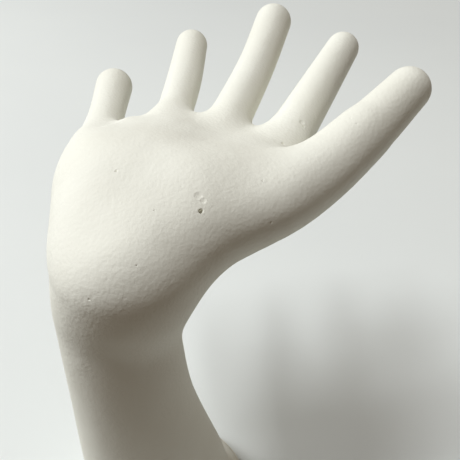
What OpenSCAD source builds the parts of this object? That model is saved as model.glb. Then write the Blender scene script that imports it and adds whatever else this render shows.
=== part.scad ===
// An open hand of cast white ceramic, palm up and bent back at the wrist, on a forearm that
// flares into a round foot. It stands on a table, and nothing on it moves.
//
// Frame: +Z is up, +Y is where the fingers point and +X is the thumb's side. The origin is
// the centre of the foot, on the table. The form is worked out from the hand's own skeleton:
// each digit is a chain of balls, and the palm is a sheet of balls between four rays that run
// from the wrist to the knuckles. The whole form is hollow, with one wall thickness. It is
// cast in sections that meet face to face: the joint of each digit lies just past its web,
// and the joint of the forearm just below the wrist.

/* [Stance] */
// Height of the centre of the wrist above the table
wrist_height = 165.5; // [140:0.5:190]
// How far the wrist stands behind the centre of the foot
wrist_back = 34; // [20:0.5:40]
// How far the hand's centre line stands to the thumb side of the forearm
wrist_side = 6.5; // [0:0.5:10]

/* [Wall] */
// Thickness of the cast ceramic
wall = 4; // [3:0.25:5]

/* [Foot] */
// Radius of the round foot
foot_radius = 39; // [36:0.5:60]
// Height of the flare above the plate
flare_height = 14; // [10:0.5:24]
// How far the flare has drawn in a quarter of the way up, in half width and in half depth
flare_waist = [2, 2.5]; // [1:0.25:6]
// Thickness of the plate that closes the foot
plate_thickness = 4; // [3:0.5:8]
// Rounding of the plate's lower edge
plate_rounding = 1.5; // [0.5:0.25:2.5]
// Diameter of the vent hole in the plate
vent_diameter = 9; // [5:0.5:20]
// Thickness of the felt under the foot
felt_thickness = 1.5; // [0.5:0.25:4]
// Width of the plate's edge that the felt leaves bare
felt_inset = 3; // [2:0.5:10]

/* [Forearm] */
// Depth of the forearm's joint below the centre of the wrist
joint_drop = 30; // [26:0.5:40]
// Half width and half depth at the wrist joint
wrist_half = [21.5, 16.25]; // [14:0.25:30]
// Half width and half depth a quarter of the way down
upper_half = [24.5, 18.5]; // [14:0.25:34]
// Half width and half depth two thirds of the way down
lower_half = [31, 24.5]; // [16:0.25:38]
// Half width and half depth where the flare starts
ankle_half = [34, 30]; // [18:0.25:42]
// Heights of the lower and the upper of these, as parts of the forearm's length
arm_share = [0.35, 0.73]; // [0.2:0.01:0.85]
// Lean at the flare, at those two and at the joint, as parts of the wrist's distance back
arm_lean = [0.11, 0.36, 0.65, 0.8]; // [0:0.01:1]

/* [Palm] */
// Half the distance between the outer rays at the wrist
ray_spread = 6; // [3:0.25:9]
// Radius of the palm's balls at the wrist, the heel, the middle and the webs
palm_radius = [17.6, 18, 12.2, 9.4]; // [8:0.1:20]
// Extra radius of the heel and the middle on the little finger's side
heel_swell = 4.25; // [0:0.25:6]
// Height of the heel's balls above the centre of the wrist
heel_rise = 8.25; // [4:0.25:12]
// How far the first balls stand in front of the centre of the wrist and above it
heel_start = [3.5, 3]; // [0:0.25:8]
// How far the outer ones of these lie below the middle ones
heel_arch = 0.9; // [0.3:0.1:3]
// Height of the middle of the palm above the centre of the wrist
palm_rise = 8.5; // [4:0.25:12]

/* [Knuckles] */
// Centre of the little finger's knuckle, measured from the centre of the wrist
little_knuckle = [-43, 75, 3]; // [-60:0.5:110]
// Centre of the ring finger's knuckle
ring_knuckle = [-17.5, 89.5, 7]; // [-60:0.5:110]
// Centre of the middle finger's knuckle
middle_knuckle = [4.5, 88, 6.5]; // [-60:0.5:110]
// Centre of the index finger's knuckle
index_knuckle = [29.5, 92, 5.5]; // [-60:0.5:110]

/* [Fingers] */
// Length of the little finger from its knuckle to the centre of its tip
little_length = 56; // [40:0.5:80]
// Length of the ring finger
ring_length = 64; // [45:0.5:90]
// Length of the middle finger
middle_length = 80; // [50:0.5:100]
// Length of the index finger
index_length = 70.5; // [45:0.5:95]
// Radius of the little finger at its joint, its middle and its tip
little_radius = [8.4, 8, 8.6]; // [7:0.1:10]
// Radius of the ring finger at its joint, its middle and its tip
ring_radius = [8, 7.8, 7.5]; // [7:0.1:10]
// Radius of the middle finger at its joint, its middle and its tip
middle_radius = [9, 8.4, 8.3]; // [7:0.1:10]
// Radius of the index finger at its joint, its middle and its tip
index_radius = [9.2, 8.4, 7.6]; // [7:0.1:10]
// Turn of the little finger's two halves towards the thumb, in degrees
little_turn = [-17, -16.5]; // [-25:0.5:25]
// Turn of the ring finger's two halves
ring_turn = [-8, -11.5]; // [-25:0.5:25]
// Turn of the middle finger's two halves
middle_turn = [7, -0.5]; // [-25:0.5:25]
// Turn of the index finger's two halves
index_turn = [14, 8.5]; // [-25:0.5:25]
// Lift of the little finger's two halves above level, in degrees
little_lift = [3.5, 4]; // [-10:0.5:35]
// Lift of the ring finger's two halves
ring_lift = [13.5, 10.5]; // [-10:0.5:35]
// Lift of the middle finger's two halves
middle_lift = [21.5, 16]; // [-10:0.5:35]
// Lift of the index finger's two halves
index_lift = [19.5, 12.5]; // [-10:0.5:35]

/* [Thumb] */
// Centre of the thumb's root inside the heel, measured from the centre of the wrist
thumb_root = [12, 31, 8]; // [0:0.5:40]
// Length of the thumb from its root to the centre of its tip
thumb_length = 110; // [90:0.5:130]
// Radius of the thumb at its root, at its three bends and at its tip
thumb_radius = [16, 15.4, 12.3, 10.6, 9]; // [8:0.1:17]
// Turn of the thumb's four stretches away from the fingers, in degrees
thumb_turn = [52, 37.5, 33, 28.5]; // [20:0.5:60]
// Lift of the thumb's four stretches above level, in degrees
thumb_lift = [5, 4.5, 15.5, 18]; // [-5:0.5:30]

/* [Joints] */
// Distance of each finger's joint past the web
finger_joint = 5.5; // [4:0.5:9]
// Distance of the thumb's joint past the end of its thick part
thumb_joint = 2.5; // [2:0.5:7]

/* [Hidden] */

ivory = [0.93, 0.92, 0.87];
digit_sides = 26;
arm_sides = 48;
ball_sides = 20;
plate_sides = 96;
vent_sides = 48;
edge_sides = 32;
tip_step = 18;
overcut = 0.5;
slice_depth = 0.5;
open_cone = 5;
open_start = 0.1;
seat = felt_thickness + plate_thickness;
wrist = [wrist_side, -wrist_back, wrist_height];
joint_height = wrist_height - joint_drop;
arm_length = joint_height - seat;

// Curves through control points, with n steps between neighbours

function catmull(a, b, c, d, t) =
    (2 * b + (c - a) * t + (2 * a - 5 * b + 4 * c - d) * t * t
     + (3 * b - a - 3 * c + d) * t * t * t) / 2;

function extended(p) =
    let (n = len(p)) concat([2 * p[0] - p[1]], p, [2 * p[n - 1] - p[n - 2]]);

function spline(p, n) =
    let (q = extended(p))
    concat([for (i = [0:len(p) - 2], k = [0:n - 1])
                catmull(q[i], q[i + 1], q[i + 2], q[i + 3], k / n)],
           [p[len(p) - 1]]);

function heading(turn, lift) = [sin(turn) * cos(lift), cos(turn) * cos(lift), sin(lift)];

function unit(v) = v / norm(v);

function xyz(q) = [q[0], q[1], q[2]];

function ball_at(p, r) = [p[0], p[1], p[2], r];

// Fingers: four balls each, at the knuckle, the joint, the middle and the tip

knuckles = [little_knuckle, ring_knuckle, middle_knuckle, index_knuckle];
finger_length = [little_length, ring_length, middle_length, index_length];
finger_radius = [little_radius, ring_radius, middle_radius, index_radius];
finger_turn = [little_turn, ring_turn, middle_turn, index_turn];
finger_lift = [little_lift, ring_lift, middle_lift, index_lift];

function finger_heading(i, half) = heading(finger_turn[i][half], finger_lift[i][half]);

function finger_balls(i) =
    let (k = wrist + knuckles[i], h = finger_length[i] / 2,
         m = k + h * finger_heading(i, 0))
    [ball_at(k, palm_radius[3]),
     ball_at(k + (palm_radius[3] + finger_joint) * finger_heading(i, 0), finger_radius[i][0]),
     ball_at(m, finger_radius[i][1]),
     ball_at(m + h * finger_heading(i, 1), finger_radius[i][2])];

// Thumb: five balls on four equal stretches

function thumb_heading(j) = heading(thumb_turn[j], thumb_lift[j]);

function thumb_ball(j) =
    j == 0 ? ball_at(wrist + thumb_root, thumb_radius[0])
           : ball_at(xyz(thumb_ball(j - 1)) + thumb_length / 4 * thumb_heading(j - 1),
                     thumb_radius[j]);

thumb_balls = [for (j = [0:4]) thumb_ball(j)];
thumb_share = (thumb_radius[2] + thumb_joint) / (thumb_length / 4);
thumb_cut = thumb_balls[2] + thumb_share * (thumb_balls[3] - thumb_balls[2]);

// Palm: four rays of four balls, from the wrist to the knuckles

function ray_ball(i, j) =
    let (side = (2 * i - 3) / 3, t = j / 3,
         start = wrist + [side * ray_spread, heel_start[0], heel_start[1] - heel_arch * side * side],
         end = wrist + knuckles[i],
         along = start + (end - start) * t,
         z = [start[2], wrist[2] + heel_rise, wrist[2] + palm_rise, end[2]],
         swell = j == 1 || j == 2 ? heel_swell * (1 - side) / 2 : 0)
    [along[0], along[1], z[j], palm_radius[j] + swell];

rays = [for (i = [0:3]) spline([for (j = [0:3]) ray_ball(i, j)], 2)];
sheet = [for (j = [0:len(rays[0]) - 1]) spline([for (i = [0:3]) rays[i][j]], 2)];

// Forearm: half widths, half depths and lean at six heights above the plate

arm_stations = [
    [0, 0, foot_radius, foot_radius],
    [flare_height / 4, 0, foot_radius - flare_waist[0], foot_radius - flare_waist[1]],
    [flare_height, -arm_lean[0] * wrist_back, ankle_half[0], ankle_half[1]],
    [arm_length * arm_share[0], -arm_lean[1] * wrist_back, lower_half[0], lower_half[1]],
    [arm_length * arm_share[1], -arm_lean[2] * wrist_back, upper_half[0], upper_half[1]],
    [arm_length, -arm_lean[3] * wrist_back, wrist_half[0], wrist_half[1]]];
arm_curve = spline(arm_stations, 3);
arm_top = arm_curve[len(arm_curve) - 1];

// The bend behind the wrist is filled by a ball half way up from the joint
bend_fill = 1;
bend_ball = [0, arm_top[1], wrist_height - joint_drop / 2, wrist_half[1] - bend_fill];

function oval(s, inset) =
    [for (k = [0:arm_sides - 1])
        let (a = 360 * k / arm_sides)
        [(s[2] - inset) * cos(a), s[1] + (s[3] - inset) * sin(a), seat + s[0]]];

// Skins of rings: each ring is a closed loop of points, and all rings of a skin have m points

function quad(a, b, c, d) = [[a, b, c], [a, c, d]];

function band(r, s, m) =
    [for (k = [0:m - 1]) let (n = (k + 1) % m)
        each quad(r * m + k, r * m + n, s * m + n, s * m + k)];

function flat(rings) = [for (ring = rings) each ring];

function backwards(v) = [for (i = [len(v) - 1:-1:0]) v[i]];

// A tube with flat ends: the outer rings in order, then the inner ones from the last back
module tube(outer, inner) {
    rings = concat(outer, backwards(inner));
    n = len(rings);
    m = len(outer[0]);
    polyhedron(flat(rings), [for (r = [0:n - 1]) each band((r + 1) % n, r, m)]);
}

// A ring of points round a ball, square to the direction t
function hoop(p, t, r, m) =
    let (side = unit(cross(t, [0, 0, 1])), up = cross(side, t))
    [for (k = [0:m - 1]) let (a = 360 * k / m) p + r * (cos(a) * side + sin(a) * up)];

// Rings along a digit, from its joint to the pole of its rounded tip
function digit_rings(path, start, inset) =
    let (n = len(path), e = unit(xyz(path[n - 1]) - xyz(path[n - 2])), r = path[n - 1][3] - inset)
    concat([for (k = [0:n - 1])
                hoop(xyz(path[k]),
                     k == 0 ? start : k == n - 1 ? e : unit(xyz(path[k + 1]) - xyz(path[k - 1])),
                     path[k][3] - inset, digit_sides)],
           [for (a = [tip_step:tip_step:90 - tip_step])
                hoop(xyz(path[n - 1]) + r * sin(a) * e, e, r * cos(a), digit_sides)]);

// A hollow digit, open at its joint
module digit(path, start) {
    outer = digit_rings(path, start, 0);
    inner = digit_rings(path, start, wall);
    n = len(outer);
    m = digit_sides;
    last = len(path) - 1;
    e = unit(xyz(path[last]) - xyz(path[last - 1]));
    poles = [xyz(path[last]) + path[last][3] * e, xyz(path[last]) + (path[last][3] - wall) * e];
    top = (n - 1) * m;
    deep = (2 * n - 1) * m;
    points = concat(flat(outer), flat(inner), poles);
    faces = concat(
        [for (r = [0:n - 2]) each band(r, r + 1, m)],
        [for (r = [n:2 * n - 2]) each band(r + 1, r, m)],
        band(n, 0, m),
        [for (k = [0:m - 1]) [top + k, top + (k + 1) % m, 2 * n * m]],
        [for (k = [0:m - 1]) [deep + (k + 1) % m, deep + k, 2 * n * m + 1]]);
    polyhedron(points, faces);
}

module ball(q, inset) {
    translate(xyz(q)) sphere(r = q[3] - inset, $fn = ball_sides);
}

// A thin slice of a digit at its joint. The solid one ends at the joint. The open one is for
// the hollow: it ends just short of the joint and carries a cone that opens the joint's face.
module slice(q, t, inset, open) {
    m = digit_sides;
    rims = concat(hoop(xyz(q) - slice_depth * t, t, q[3] - inset, m),
                  hoop(xyz(q) - (open ? open_start : 0) * t, t, q[3] - inset, m));
    sides = concat(band(0, 1, m), [for (k = [1:m - 2]) [0, k + 1, k]]);
    hull() {
        if (open)
            polyhedron(concat(rims, [xyz(q) + open_cone * t]),
                       concat(sides, [for (k = [0:m - 1]) [m + k, m + (k + 1) % m, 2 * m]]));
        else
            polyhedron(rims, concat(sides, [for (k = [1:m - 2]) [m, m + k, m + k + 1]]));
    }
}

// The palm's form: the sheet of balls, the thumb's root, the stubs and the top of the wrist
module palm_form(inset, open) {
    for (j = [0:len(sheet) - 2], i = [0:len(sheet[0]) - 2]) {
        hull() {
            ball(sheet[j][i], inset);
            ball(sheet[j][i + 1], inset);
            ball(sheet[j + 1][i], inset);
            ball(sheet[j + 1][i + 1], inset);
        }
    }
    for (i = [0:3]) {
        balls = finger_balls(i);
        hull() {
            ball(balls[0], inset);
            slice(balls[1], finger_heading(i, 0), inset, open);
        }
    }
    for (j = [0:1]) {
        hull() {
            ball(thumb_balls[j], inset);
            ball(thumb_balls[j + 1], inset);
            ball(sheet[j + 2][6], inset);
            ball(sheet[j + 3][6], inset);
        }
    }
    hull() {
        ball(thumb_balls[2], inset);
        slice(thumb_cut, thumb_heading(2), inset, open);
    }
    wrist_form(inset, open);
}

// The wrist, from the forearm's joint up into the heel, with the bend behind it filled
module wrist_form(inset, open) {
    hull() {
        wrist_slice(inset, open);
        ball(sheet[0][0], inset);
        ball(sheet[0][6], inset);
    }
    hull() {
        ball(bend_ball, inset);
        ball(sheet[0][1], inset);
        ball(sheet[0][5], inset);
        ball(sheet[2][1], inset + bend_fill);
        ball(sheet[2][5], inset + bend_fill);
    }
}

module wrist_slice(inset, open) {
    translate([0, arm_top[1], joint_height])
        scale([wrist_half[0] - inset, wrist_half[1] - inset, 1]) {
            translate([0, 0, open ? open_start : 0])
                cylinder(r = 1, h = slice_depth, $fn = arm_sides);
            if (open)
                translate([0, 0, -open_cone])
                    cylinder(r1 = 0, r2 = 1, h = open_cone + open_start, $fn = arm_sides);
        }
}

module forearm() {
    color(ivory)
        tube([for (s = arm_curve) oval(s, 0)], [for (s = arm_curve) oval(s, wall)]);
}

module palm() {
    color(ivory) difference() {
        palm_form(0, false);
        palm_form(wall, true);
    }
}

module finger(i) {
    balls = finger_balls(i);
    color(ivory) digit(spline([balls[1], balls[2], balls[3]], 4), finger_heading(i, 0));
}

module thumb() {
    color(ivory) digit(spline([thumb_cut, thumb_balls[3], thumb_balls[4]], 4), thumb_heading(2));
}

module foot_plate() {
    r = foot_radius - plate_rounding;
    color(ivory) translate([0, 0, felt_thickness]) difference() {
        union() {
            translate([0, 0, plate_rounding])
                cylinder(r = foot_radius, h = plate_thickness - plate_rounding, $fn = plate_sides);
            rotate_extrude($fn = plate_sides) {
                square([r, plate_rounding]);
                intersection() {
                    translate([r, plate_rounding]) circle(r = plate_rounding, $fn = edge_sides);
                    square([foot_radius, plate_rounding]);
                }
            }
        }
        translate([0, 0, -overcut])
            cylinder(d = vent_diameter, h = plate_thickness + 2 * overcut, $fn = vent_sides);
    }
}

module felt_pad() {
    color([0.35, 0.34, 0.32])
        cylinder(r = foot_radius - felt_inset, h = felt_thickness, $fn = plate_sides);
}

forearm();
palm();
thumb();
finger(3);  // index_finger
finger(2);  // middle_finger
finger(1);  // ring_finger
finger(0);  // little_finger
foot_plate();
felt_pad();
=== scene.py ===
import math

import bmesh
import bpy
import numpy as np
from mathutils import Matrix, Vector
from mathutils.kdtree import KDTree


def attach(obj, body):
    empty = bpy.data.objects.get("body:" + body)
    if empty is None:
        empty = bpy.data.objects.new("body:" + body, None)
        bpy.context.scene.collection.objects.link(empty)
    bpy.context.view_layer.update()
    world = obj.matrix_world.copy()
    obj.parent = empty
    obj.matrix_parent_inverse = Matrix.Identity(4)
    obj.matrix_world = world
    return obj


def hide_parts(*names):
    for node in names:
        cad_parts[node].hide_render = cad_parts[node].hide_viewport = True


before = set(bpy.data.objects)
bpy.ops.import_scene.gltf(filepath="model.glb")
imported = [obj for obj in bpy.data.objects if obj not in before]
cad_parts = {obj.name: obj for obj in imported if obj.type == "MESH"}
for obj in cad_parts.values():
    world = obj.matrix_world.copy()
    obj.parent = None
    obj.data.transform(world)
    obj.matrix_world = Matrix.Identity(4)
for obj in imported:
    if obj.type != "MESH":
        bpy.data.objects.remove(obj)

MM = 0.001

# Sizes, in millimetres in the row frame. The hand is measured from the centre of the wrist.
WRIST = np.array([6.5, -34.0, 165.5])

# Each digit: centres of its balls from the root to the tip, with their radii
FINGERS = {
    "little_finger": [(-43.0, 72.5, 3.0, 9.7), (-51.0, 100.5, 4.5, 7.9), (-59.0, 127.5, 6.0, 8.6)],
    "ring_finger": [(-17.5, 91.0, 8.5, 7.4), (-21.5, 121.0, 15.5, 7.8), (-28.0, 152.0, 20.5, 7.4)],
    "middle_finger": [(4.0, 85.5, 6.0, 9.3), (9.5, 126.5, 23.0, 8.1), (9.0, 163.0, 32.0, 8.3)],
    "index_finger": [(29.5, 93.0, 4.5, 10.0), (38.0, 127.5, 18.0, 8.4), (43.0, 159.0, 24.5, 7.4)],
}
THUMB = [(16.5, 36.0, 8.5, 15.8), (33.5, 49.5, 9.5, 15.0), (49.0, 68.0, 13.0, 12.1),
         (63.5, 89.5, 21.0, 10.5), (76.0, 111.5, 30.0, 8.9)]
# The front edge of the thumb's root, which makes its top flatter than its balls
THENAR = [(9.0, 16.0, 6.5, 9.5), (23.0, 28.0, 11.0, 10.0), (39.0, 42.5, 13.0, 10.2), (52.0, 64.5, 15.0, 9.0),
          (62.0, 86.0, 21.0, 8.0)]
# The palm's rows of balls: share of the way to the knuckles, height (None: the knuckle's own),
# radius, and extra radius on the little finger's side
PALM_ROWS = [(0.0, 2.2, 12.1, 0.0), (0.33, 8.4, 15.8, 4.4), (0.67, 9.0, 11.0, 5.0), (1.0, None, 9.4, 0.0)]
# The row at the wrist: half its width, and how far past the wrist's centre it lies. The palm's
# middle rows rise this much between their ends.
CARPUS_HALF, CARPUS_FRONT, PALM_ARCH = 4.2, 11.0, 1.0
# The forearm, from the wrist down: height, centre x and y, half width, half depth in front,
# half depth behind and turn
ARM = [(0.0, -7.4, 8.2, 17.2, 16.6, 12.4, 4.0), (-15.0, -8.8, 9.6, 21.4, 18.8, 14.0, 4.0),
       (-30.0, -9.0, 11.4, 22.7, 20.0, 12.8, 4.0), (-65.0, -9.0, 15.8, 24.9, 22.4, 14.6, 4.0),
       (-115.0, -7.5, 26.0, 31.8, 29.0, 20.4, 4.0), (-148.0, -6.5, 31.8, 34.5, 31.4, 28.6, 1.0),
       (-157.0, -6.4, 33.8, 37.4, 36.6, 36.6, 0.0), (-160.0, -6.5, 34.0, 39.0, 39.0, 39.0, 0.0)]
# Height of the dome that rounds off the forearm's top inside the palm, and a factor that keeps the
# forearm's distance from being too long where it flares
ARM_DOME, ARM_SLOPE = 13.0, 0.9
# Widths of the fillets where the forms melt into each other
BLENDS = {"palm": 6.0, "web": 8.0, "thenar": 6.0, "thumb": 16.0, "arm": 22.0}
# Joints of the cast sections: a finger's joint lies this far from its root ball, the thumb's this
# far from its middle ball, and the forearm's at this place. A cut reaches no farther from its centre.
JOINT_FROM_KNUCKLE = {"little_finger": 19.0, "ring_finger": 15.0, "middle_finger": 22.0, "index_finger": 16.0}
JOINT_FROM_THUMB_BEND = 14.8
ARM_JOINT = (-7.5, 6.9, -30.0)
FINGER_REACH, THUMB_REACH, ARM_REACH = 12.8, 18.0, 35.0
# Pinholes and dents that the casting left: place, radius and depth
PITS = [((21.0, 19.0, 23.0), 0.8, 2.0), ((33.5, 81.5, 15.0), 0.6, 1.3), ((18.0, 23.5, 25.5), 1.5, 0.22),
        ((20.5, 22.5, 25.0), 1.1, 0.2), ((37.0, 99.0, 16.0), 1.2, 0.3), ((39.0, 97.5, 16.0), 0.8, 0.25),
        ((-10.5, 25.5, 29.5), 0.4, 0.6), ((35.5, 39.5, 24.0), 0.35, 0.35), ((41.0, 30.0, 15.0), 0.5, 0.3),
        ((7.5, -4.0, 16.0), 0.3, 0.35), ((7.0, 13.5, 25.0), 0.3, 0.3), ((-5.5, -10.5, 5.5), 0.35, 0.4),
        ((-5.5, 91.5, 17.5), 0.35, 0.35), ((61.0, 78.5, 29.5), 0.35, 0.3), ((58.0, 80.5, 30.0), 0.5, 0.15)]
# Faces this far past a pit's radius are split or moved with it. The higher the power, the steeper
# the pit's wall.
PIT_SPLIT, PIT_MARGIN, PIT_POWER = 1.2, 1.5, 2.5
# Balls added between those above, so that each row runs smoothly
RAY_STEPS, SHEET_STEPS, DIGIT_STEPS, THUMB_STEPS, ARM_STEPS = 8, 2, 6, 4, 6
# The mesh: the space that holds the form, its grid, the cells along a block's side, how many batches
# the blocks are worked out in, and the rounds and steps of the smoothing. The second step undoes the
# shrinking of the first. Vertices up to the foot's edge above its underside aren't smoothed.
FORM_LOW = np.array([-69.0, -24.0, -164.0])
FORM_HIGH = np.array([90.0, 176.0, 44.0])
GRID, BLOCK, BATCHES = 1.0, 8, 40
SMOOTH_ROUNDS, SMOOTH_STEPS = 12, (0.5, -0.52)
FOOT_EDGE = 0.5

# The room, in metres: a table whose front edge lies outside the camera's view, and the camera
HAND = Vector((0.02, 0.05, 0.17))
TABLE_HALF_WIDTH, TABLE_FRONT, TABLE_BACK = 3, -0.13, 4
CAMERA_PLACE, CAMERA_LENS, CAMERA_SENSOR = (80.4, -151.4, 150.0), 54.78, 36.0
CAMERA_AZIMUTH, CAMERA_ELEVATION = 16.4, 36.7


def to_row(p):
    """A place in millimetres from the wrist, as metres in the row frame."""
    return Vector((np.array(p, float) + WRIST) * MM)


def unit(v):
    v = np.array(v, float)
    return v / np.linalg.norm(v)


def object_from(name, data):
    obj = bpy.data.objects.new(name, data)
    bpy.context.scene.collection.objects.link(obj)
    return obj


def spline(points, steps):
    """A smooth curve through the points, with this many steps from each to the next."""
    p = np.array(points, float)
    q = np.vstack([2 * p[0] - p[1], p, 2 * p[-1] - p[-2]])
    out = []
    for i in range(len(p) - 1):
        a, b, c, d = q[i:i + 4]
        for k in range(steps):
            t = k / steps
            out.append(0.5 * (2 * b + (c - a) * t + (2 * a - 5 * b + 4 * c - d) * t * t
                              + (3 * b - a - 3 * c + d) * t ** 3))
    out.append(p[-1])
    return np.array(out)


def palm_sheet():
    """Rays of balls, spread between the four that run from the wrist to the knuckles."""
    rays = []
    for i, finger in enumerate(FINGERS.values()):
        side = (2 * i - 3) / 3
        start = np.array([side * CARPUS_HALF, CARPUS_FRONT, PALM_ROWS[0][1]])
        end = np.array(finger[0][:3])
        balls = []
        for share, height, radius, swell in PALM_ROWS:
            q = start + (end - start) * share
            if height is not None:
                q[2] = height + (PALM_ARCH * (1 - side * side) if swell else 0)
            balls.append([*q, radius + swell * (1 - side) / 2])
        rays.append(spline(balls, RAY_STEPS))
    rays = np.array(rays)
    return np.stack([spline(rays[:, j], SHEET_STEPS) for j in range(rays.shape[1])], 1)


def cone(p, a, b):
    """Distance to two balls and the cone between them."""
    length, wider = np.linalg.norm(b[:3] - a[:3]), b[3] - a[3]
    q = p - a[:3]
    along = q @ (b[:3] - a[:3]) / length
    out = np.sqrt(np.maximum(np.einsum("ij,ij->i", q, q) - along ** 2, 0))
    h = np.clip((along + out * wider / math.sqrt(length ** 2 - wider ** 2)) / length, 0, 1)
    return np.sqrt(out ** 2 + (along - h * length) ** 2) - (a[3] + h * wider)


def blend(f, g, width):
    """The union of two forms, filleted over a width."""
    if f is None:
        return g
    h = np.maximum(width - np.abs(f - g), 0) / width
    return np.minimum(f, g) - h * h * width / 4


def chain(p, balls):
    """Distance to a row of balls, each joined to the next."""
    f = cone(p, balls[0], balls[1])
    for a, b in zip(balls[1:-1], balls[2:]):
        f = np.minimum(f, cone(p, a, b))
    return f


SHEET = palm_sheet()
DIGITS = {name: spline(balls, DIGIT_STEPS) for name, balls in FINGERS.items()}
THUMB_BALLS = spline(THUMB, THUMB_STEPS)
THENAR_BALLS = spline(THENAR, THUMB_STEPS)
ARM_CURVE = spline(ARM[::-1], ARM_STEPS)


def arm(p):
    """Distance to the forearm, a turned oval that changes with height, with a dome on top."""
    s = ARM_CURVE
    z = np.clip(p[:, 2], s[0, 0], s[-1, 0])
    cx, cy, a, front, behind, turn = (np.interp(z, s[:, 0], s[:, k]) for k in range(1, 7))
    c, d = np.cos(np.radians(turn)), np.sin(np.radians(turn))
    x, y = p[:, 0] - cx, p[:, 1] - cy
    u, v = c * x + d * y, c * y - d * x
    u, v = u / a, v / np.where(v < 0, front, behind)
    above = np.maximum(p[:, 2] - s[-1, 0], 0) / ARM_DOME
    f = (np.sqrt(u * u + v * v + above * above) - 1) * np.minimum(a, (front + behind) / 2)
    return np.maximum(f, s[0, 0] - p[:, 2]) * ARM_SLOPE


def form(p):
    """Signed distance, negative inside the ceramic, in millimetres from the wrist's centre."""
    f = None
    for ray in SHEET:
        f = blend(f, chain(p, ray), BLENDS["palm"])
    f = blend(f, blend(chain(p, THUMB_BALLS), chain(p, THENAR_BALLS), BLENDS["thenar"]), BLENDS["thumb"])
    for balls in DIGITS.values():
        f = blend(f, chain(p, balls), BLENDS["web"])
    return blend(f, arm(p), BLENDS["arm"])


def form_field(low, high, step):
    """The form on a regular grid. Only blocks near the surface are worked out in full."""
    n = np.ceil((high - low) / step / BLOCK).astype(int)
    centre = [low[k] + step * (BLOCK * np.arange(n[k]) + (BLOCK - 1) / 2) for k in range(3)]
    grid = np.stack(np.meshgrid(*centre, indexing="ij"), -1).reshape(-1, 3)
    rough = form(grid)
    near = np.abs(rough) < step * BLOCK * 1.4 + 1
    values = np.broadcast_to(rough.reshape(*n, 1, 1, 1), (*n, BLOCK, BLOCK, BLOCK)).copy()
    local = (np.arange(BLOCK) - (BLOCK - 1) / 2) * step
    offset = np.stack(np.meshgrid(local, local, local, indexing="ij"), -1).reshape(-1, 3)
    flat = values.reshape(-1, BLOCK ** 3)
    for part in np.array_split(np.where(near)[0], BATCHES):
        p = (grid[part][:, None] + offset[None]).reshape(-1, 3)
        flat[part] = form(p).reshape(len(part), -1)
    return flat.reshape(*n, BLOCK, BLOCK, BLOCK).transpose(0, 3, 1, 4, 2, 5).reshape(*(n * BLOCK))


def surface(field, low, step):
    """Vertices and quads of the field's zero surface, one vertex in each cell that it crosses."""
    inside = field < 0
    n = np.array(field.shape) - 1
    count = np.zeros(n, np.int8)
    corners = [(i, j, k) for i in (0, 1) for j in (0, 1) for k in (0, 1)]
    for i, j, k in corners:
        count += inside[i:i + n[0], j:j + n[1], k:k + n[2]]
    cells = np.argwhere((count > 0) & (count < 8))
    index = np.full(n, -1, np.int64)
    index[tuple(cells.T)] = np.arange(len(cells))
    total, hits = np.zeros((len(cells), 3)), np.zeros(len(cells))
    for a in corners:
        for axis in range(3):
            if a[axis]:
                continue
            b = list(a)
            b[axis] = 1
            va = field[tuple((cells + a).T)]
            vb = field[tuple((cells + b).T)]
            cut = (va < 0) != (vb < 0)
            t = np.where(cut, va / np.where(cut, va - vb, 1), 0)
            p = cells + np.array(a, float)
            p[:, axis] += t
            total += p * cut[:, None]
            hits += cut
    verts = low + step * total / hits[:, None]
    quads = []
    for axis in range(3):
        u, v = (axis + 1) % 3, (axis + 2) % 3
        first = [slice(1, n[k]) for k in range(3)]
        first[axis] = slice(0, n[axis])
        second = list(first)
        second[axis] = slice(1, n[axis] + 1)
        a, b = inside[tuple(first)], inside[tuple(second)]
        edges = np.argwhere(a != b)
        flip = a[tuple(edges.T)]
        edges = edges + 1
        edges[:, axis] -= 1
        ring = []
        for du, dv in ((1, 1), (0, 1), (0, 0), (1, 0)):
            c = edges.copy()
            c[:, u] -= du
            c[:, v] -= dv
            ring.append(index[tuple(c.T)])
        q = np.stack(ring, 1)
        q[~flip] = q[~flip][:, ::-1]
        quads.append(q)
    return verts, np.vstack(quads)


def settled(p, e=0.05):
    """The points, each moved along the field's slope to its zero surface."""
    for _ in range(2):
        f = form(p)
        g = np.stack([(form(p + d) - f) / e for d in e * np.eye(3)], 1)
        p = p - np.clip(f[:, None] * g / np.maximum((g * g).sum(1, keepdims=True), 1e-6), -0.5, 0.5)
    return p


def smooth(verts, quads, rounds, weight):
    """Evens out the surface where weight is above 0, and keeps its size."""
    edges = np.unique(np.sort(np.vstack([quads[:, [0, 1]], quads[:, [1, 2]],
                                         quads[:, [2, 3]], quads[:, [3, 0]]]), axis=1), axis=0)
    a, b = edges.T
    n = len(verts)
    valence = np.bincount(a, minlength=n) + np.bincount(b, minlength=n)
    for _ in range(rounds):
        for factor in SMOOTH_STEPS:
            mean = np.stack([np.bincount(a, verts[b, k], n) + np.bincount(b, verts[a, k], n)
                             for k in range(3)], 1) / valence[:, None]
            verts = verts + (factor * weight)[:, None] * (mean - verts)
    return verts


def whole_form():
    """The whole hand as one closed mesh, in the row frame."""
    verts, quads = surface(form_field(FORM_LOW, FORM_HIGH, GRID), FORM_LOW, GRID)
    verts = settled(verts)
    foot = verts[:, 2] < ARM[-1][0] + FOOT_EDGE
    verts = smooth(verts, quads, SMOOTH_ROUNDS, np.where(foot, 0.0, 1.0))
    verts[foot, 2] = np.maximum(verts[foot, 2], ARM[-1][0])
    mesh = bpy.data.meshes.new("whole")
    mesh.from_pydata(((verts + WRIST) * MM).tolist(), [], quads.tolist())
    mesh.update()
    return mesh


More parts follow.
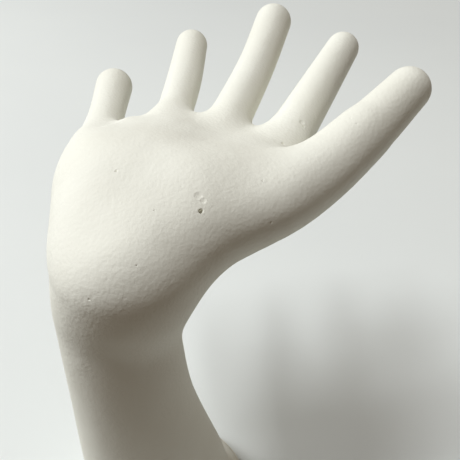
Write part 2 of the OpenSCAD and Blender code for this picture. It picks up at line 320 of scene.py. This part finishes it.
def pit(bm, place, radius, depth):
    """Sinks a round pit into the surface where it lies nearest to the place."""
    tree = KDTree(len(bm.verts))
    for v in bm.verts:
        tree.insert(v.co, v.index)
    tree.balance()
    bm.verts.ensure_lookup_table()
    centre, index, _ = tree.find(to_row(place))
    normal = bm.verts[index].normal.copy()
    near = tree.find_range(centre, (radius + PIT_SPLIT) * MM)
    close = {f for _, i, _ in near for f in bm.verts[i].link_faces}
    edges = list({e for f in close for e in f.edges})
    bmesh.ops.subdivide_edges(bm, edges=edges, cuts=3, use_grid_fill=True)
    bm.verts.index_update()
    around_it = (radius + PIT_MARGIN) * MM
    faces = [f for f in bm.faces if (f.calc_center_median() - centre).length < around_it]
    for v in {v for f in faces for v in f.verts}:
        out = (v.co - centre).length / (radius * MM)
        v.co -= normal * depth * MM * max(0.0, 1 - out ** PIT_POWER)


def cut_joints(bm, joints):
    """Parts the form at its joints, so that each section's vertices are its own."""
    loops = []
    for centre, direction, reach in joints.values():
        faces = [f for f in bm.faces if (f.calc_center_median() - centre).length < reach]
        geom = list({v for f in faces for v in f.verts} | {e for f in faces for e in f.edges}) + faces
        cut = bmesh.ops.bisect_plane(bm, geom=geom, plane_co=centre, plane_no=direction, dist=1e-7)
        loops += [e for e in cut["geom_cut"] if isinstance(e, bmesh.types.BMEdge)]
    bmesh.ops.split_edges(bm, edges=loops)
    bm.verts.index_update()


def connected(bm):
    """The groups of vertices that hang together, and for each vertex the number of its group."""
    label = np.full(len(bm.verts), -1)
    groups = []
    for seed in bm.verts:
        if label[seed.index] >= 0:
            continue
        stack, members = [seed], []
        label[seed.index] = len(groups)
        while stack:
            v = stack.pop()
            members.append(v)
            for e in v.link_edges:
                w = e.other_vert(v)
                if label[w.index] < 0:
                    label[w.index] = len(groups)
                    stack.append(w)
        groups.append(members)
    return groups, label


def section_name(members, total, joints):
    """The section that a group of vertices is: past its joint, and nearest to the joint's line."""
    middle = sum((v.co for v in members), Vector()) / len(members)
    if len(members) >= total / 2:
        return "palm"
    fits = [n for n, (centre, away, _) in joints.items() if (middle - centre).dot(away) > 0]
    return min(fits, key=lambda n: (middle - joints[n][0]).cross(joints[n][1]).length, default="palm")


def close_rims(part):
    """Fills each open rim of a section on its own."""
    rim = {e for e in part.edges if e.is_boundary}
    while rim:
        loop, stack = [], [rim.pop()]
        while stack:
            e = stack.pop()
            loop.append(e)
            linked = {f for v in e.verts for f in v.link_edges} & rim
            rim -= linked
            stack += linked
        bmesh.ops.triangle_fill(part, edges=loop, use_beauty=False)


def cast_sections(whole, joints):
    """Cuts the form at its joints into closed pieces that keep the whole form's normals.

    joints holds, for each section but the palm, the joint's centre, its direction away from
    the palm and how far from the centre the cut reaches, all in the row frame."""
    bm = bmesh.new()
    bm.from_mesh(whole)
    for place, radius, depth in PITS:
        bm.normal_update()
        pit(bm, place, radius, depth)
    bm.normal_update()
    layer = bm.verts.layers.float_vector.new("whole_normal")
    for v in bm.verts:
        v[layer] = v.normal
    cut_joints(bm, joints)
    groups, label = connected(bm)
    names = [section_name(members, len(label), joints) for members in groups]
    pieces = {}
    for k, name in enumerate(names):
        part = bm.copy()
        part.verts.ensure_lookup_table()
        bmesh.ops.delete(part, geom=[part.verts[i] for i in np.where(label != k)[0]], context="VERTS")
        close_rims(part)
        kept = part.verts.layers.float_vector["whole_normal"]
        turned = [Vector(v[kept]).normalized() for v in part.verts]
        mesh = bpy.data.meshes.new(name)
        part.to_mesh(mesh)
        part.free()
        for polygon in mesh.polygons:
            polygon.use_smooth = True
        mesh.normals_split_custom_set_from_vertices(turned)
        pieces[name] = object_from(name + "_cast", mesh)
    bm.free()
    return pieces


def noise(tree, scale, detail, coords):
    """A noise texture. Without coords it follows the piece's own bounding box."""
    texture = tree.nodes.new("ShaderNodeTexNoise")
    texture.inputs["Scale"].default_value = scale
    texture.inputs["Detail"].default_value = detail
    if coords:
        tree.links.new(coords.outputs["Object"], texture.inputs["Vector"])
    return texture


def toned_material(name, roughness, scale, detail, tones, spread=(0.0, 1.0), on_object=True):
    """A material whose colour drifts between two tones, with its shader and coordinates."""
    mat = bpy.data.materials.new(name)
    mat.use_nodes = True
    tree = mat.node_tree
    shader = tree.nodes["Principled BSDF"]
    shader.inputs["Roughness"].default_value = roughness
    coords = tree.nodes.new("ShaderNodeTexCoord") if on_object else None
    cloud = noise(tree, scale, detail, coords)
    ramp = tree.nodes.new("ShaderNodeValToRGB")
    for stop, position, tone in zip(ramp.color_ramp.elements, spread, tones):
        stop.position = position
        stop.color = (*tone, 1)
    tree.links.new(cloud.outputs["Fac"], ramp.inputs["Fac"])
    tree.links.new(ramp.outputs["Color"], shader.inputs["Base Color"])
    return mat, shader, coords


def ceramic_material():
    """Matte fired ceramic: soft waves of the casting with a fine grain on them."""
    mat, shader, coords = toned_material("matte_ceramic", 0.8, 22.0, 3.0,
                                         ((0.80, 0.79, 0.705), (0.84, 0.835, 0.755)), (0.3, 0.7))
    shader.inputs["Specular IOR Level"].default_value = 0.3
    tree = mat.node_tree
    under = None
    for scale, detail, depth in ((75.0, 2.0, 0.0008), (750.0, 4.0, 0.00035)):
        bump = tree.nodes.new("ShaderNodeBump")
        bump.inputs["Strength"].default_value = 0.5
        bump.inputs["Distance"].default_value = depth
        tree.links.new(noise(tree, scale, detail, coords).outputs["Fac"], bump.inputs["Height"])
        if under:
            tree.links.new(under.outputs["Normal"], bump.inputs["Normal"])
        under = bump
    tree.links.new(under.outputs["Normal"], shader.inputs["Normal"])
    return mat


def section_joints():
    """For each section but the palm: its joint's centre, the way out of the palm, and the cut's reach."""
    joints = {"forearm": (to_row(ARM_JOINT), Vector((0, 0, -1)), ARM_REACH * MM)}
    for name, balls in FINGERS.items():
        root, middle = np.array(balls[0][:3]), np.array(balls[1][:3])
        along = unit(middle - root)
        joints[name] = (to_row(root + JOINT_FROM_KNUCKLE[name] * along), Vector(along), FINGER_REACH * MM)
    bend, past = np.array(THUMB[2][:3]), np.array(THUMB[3][:3])
    along = unit(past - bend)
    joints["thumb"] = (to_row(bend + JOINT_FROM_THUMB_BEND * along), Vector(along), THUMB_REACH * MM)
    return joints


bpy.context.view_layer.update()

ceramic = ceramic_material()
whole = whole_form()
for name, piece in cast_sections(whole, section_joints()).items():
    piece.data.materials.append(ceramic)
    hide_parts(name)
    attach(piece, "root")
bpy.data.meshes.remove(whole)

felt = toned_material("felt", 1.0, 700.0, 6.0, ((0.07, 0.066, 0.06), (0.14, 0.133, 0.12)))[0]
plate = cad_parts["foot_plate"]
plate.data.materials.clear()
plate.data.materials.append(ceramic)
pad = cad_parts["felt_pad"]
pad.data.materials.clear()
pad.data.materials.append(felt)

# Table and light
table_mat = toned_material("table", 0.9, 9.0, 6.0, ((0.735, 0.76, 0.745), (0.775, 0.80, 0.78)),
                           (0.35, 0.65), on_object=False)[0]
left, right, near, far = -TABLE_HALF_WIDTH, TABLE_HALF_WIDTH, TABLE_FRONT, TABLE_BACK
floor_mesh = bpy.data.meshes.new("table_top")
corners = [(left, near, 0), (right, near, 0), (right, far, 0), (left, far, 0)]
floor_mesh.from_pydata(corners, [], [(0, 1, 2, 3)])
floor = object_from("table_top", floor_mesh)
floor.data.materials.append(table_mat)

world = bpy.data.worlds.new("room")
bpy.context.scene.world = world
world.use_nodes = True
world.node_tree.nodes["Background"].inputs["Color"].default_value = (1.0, 0.74, 0.5, 1)
world.node_tree.nodes["Background"].inputs["Strength"].default_value = 0.11


def area_light(name, place, size, power, colour):
    """A square area light that faces the hand."""
    data = bpy.data.lights.new(name, "AREA")
    data.shape = "RECTANGLE"
    data.size = data.size_y = size
    data.energy = power
    data.color = colour
    obj = object_from(name, data)
    obj.location = place
    obj.rotation_euler = (HAND - place).to_track_quat("-Z", "Y").to_euler()


def around(azimuth, elevation, distance):
    """A place seen from the hand at these angles in degrees and this distance in metres."""
    a, e = math.radians(azimuth), math.radians(elevation)
    return HAND + distance * Vector((math.cos(a) * math.cos(e), math.sin(a) * math.cos(e), math.sin(e)))


DAYLIGHT, WALL = (0.95, 0.98, 1.0), (1.0, 0.97, 0.92)
area_light("window", around(-175, 30, 2.6), 1.0, 36.0, DAYLIGHT)
area_light("window_top", around(-155, 68, 2.6), 0.8, 50.0, DAYLIGHT)
area_light("far_wall", around(50, 25, 2.4), 1.4, 3.0, WALL)

scene = bpy.context.scene
azimuth, elevation = math.radians(CAMERA_AZIMUTH), math.radians(CAMERA_ELEVATION)
back = Vector((math.sin(azimuth) * math.cos(elevation), -math.cos(azimuth) * math.cos(elevation),
               math.sin(elevation)))
camera_data = bpy.data.cameras.new("camera")
camera_data.lens, camera_data.sensor_width = CAMERA_LENS, CAMERA_SENSOR
camera_data.clip_start = 0.01
camera = object_from("camera", camera_data)
camera.location = to_row(CAMERA_PLACE)
across = Vector((math.cos(azimuth), math.sin(azimuth), 0))
camera.rotation_euler = Matrix((across, back.cross(across), back)).transposed().to_euler()
scene.camera = camera
scene.view_settings.view_transform = "Standard"
